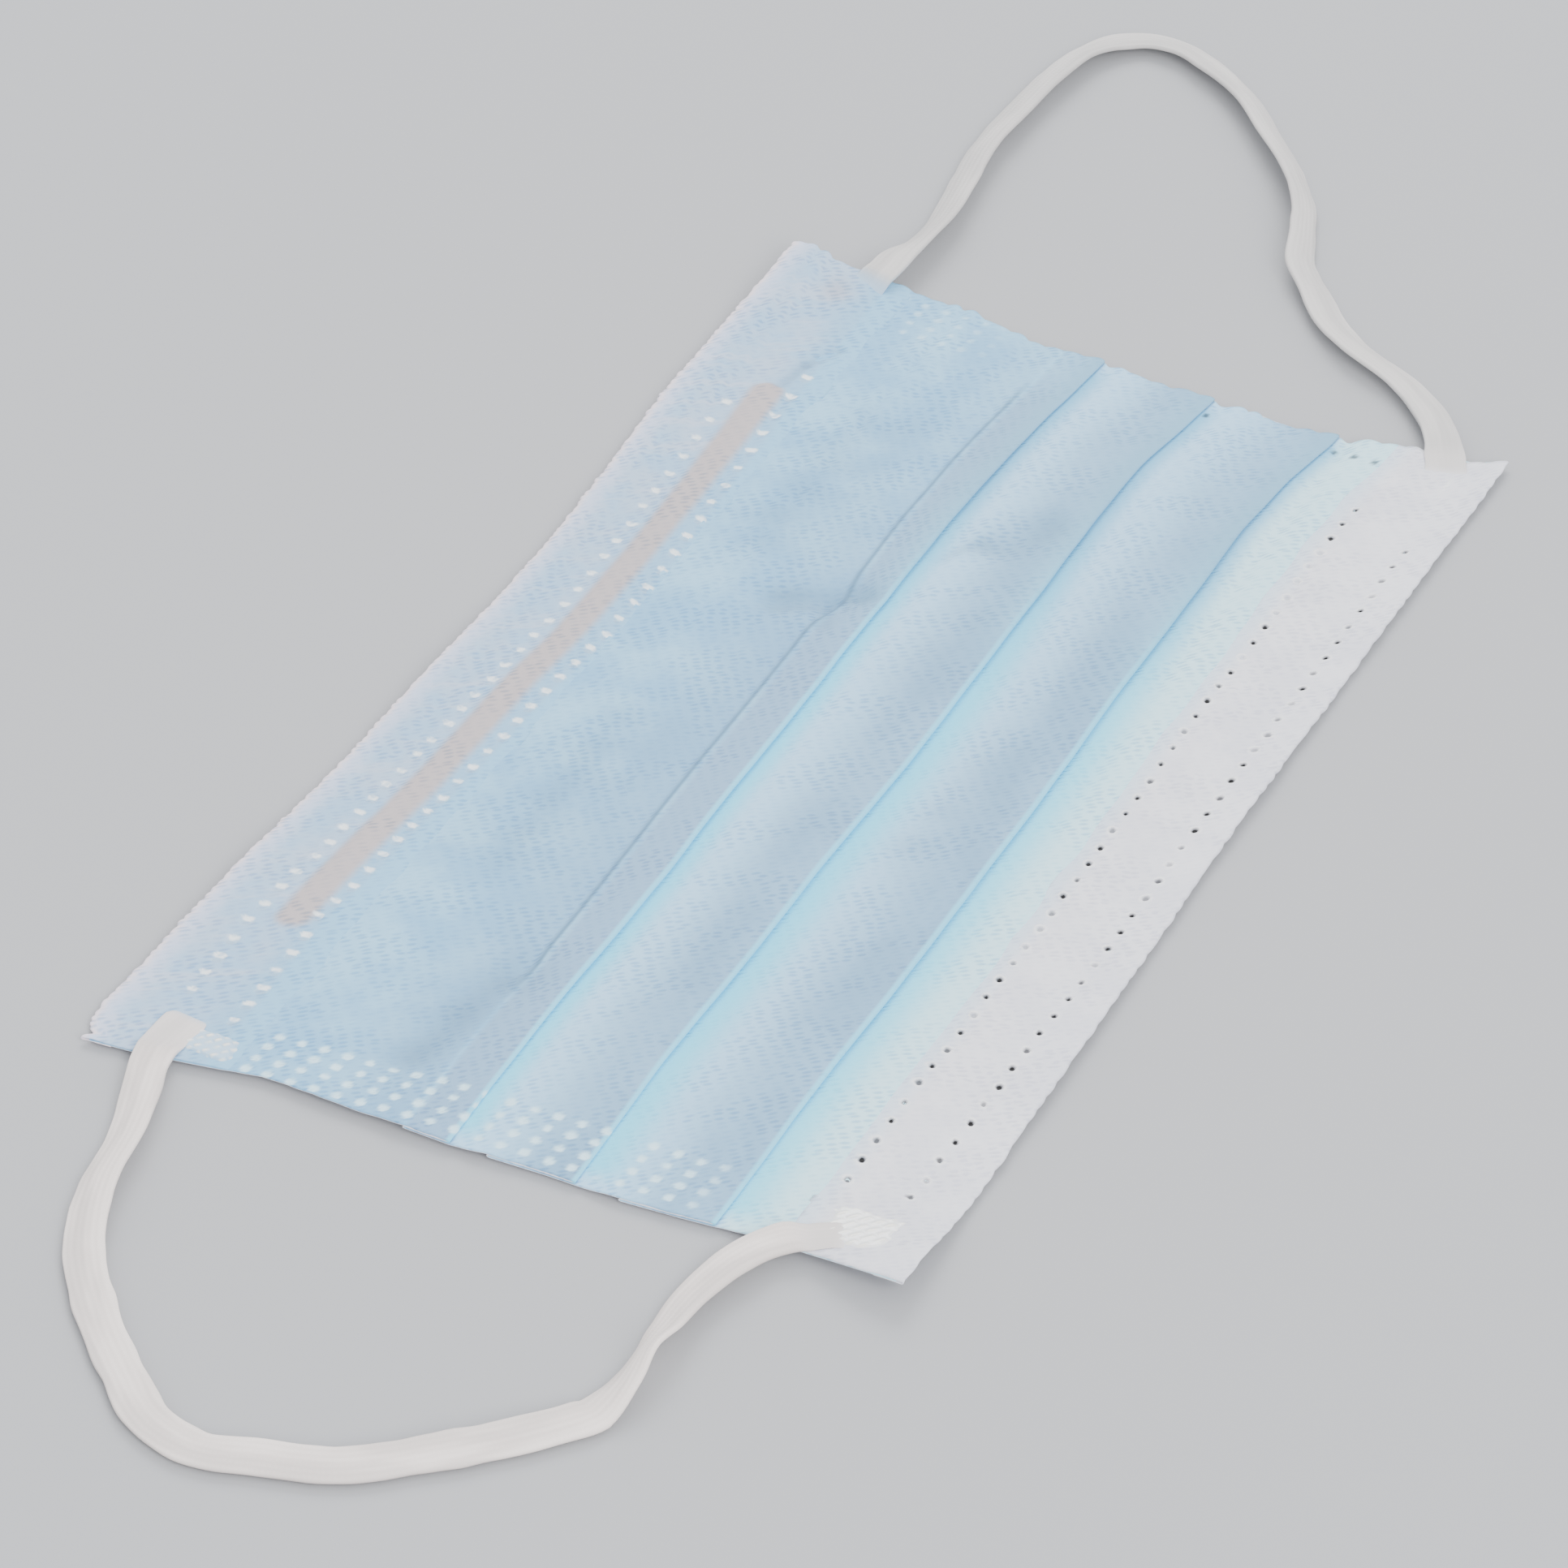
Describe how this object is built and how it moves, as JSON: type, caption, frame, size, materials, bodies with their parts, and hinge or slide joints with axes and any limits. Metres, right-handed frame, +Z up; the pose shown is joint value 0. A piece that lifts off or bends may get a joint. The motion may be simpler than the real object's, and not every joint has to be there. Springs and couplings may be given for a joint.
{
  "type": "surgical face mask",
  "caption": "Pleated three-ply face mask lying flat, outer face up, with a hemmed nose strip and a flat elastic ear loop spread out at each side.",
  "frame": {"origin": "under the middle of the folded mask body, on the surface it lies on; the ear loops don't count", "axes": "+X along the mask towards its far side, +Y across it towards the nose edge, +Z up out of the outer face"},
  "size_m": [0.3019, 0.095, 0.0054],
  "materials": {
    "outer_cloth": "pale blue non-woven cloth with a fine embossed dash, matt and soft",
    "inner_cloth": "thin white non-woven cloth, matt, a little see-through",
    "nose_strip": "coated flat wire, dull tan",
    "ear_elastic": "soft flat knitted elastic, warm white, matt"
  },
  "bodies": {
    "root": {"pleated_body": "outer_cloth", "nose_hem": "inner_cloth", "nose_wire": "nose_strip", "chin_hem": "inner_cloth", "ear_loop_near": "ear_elastic", "ear_loop_far": "ear_elastic"}
  },
  "joints": []
}
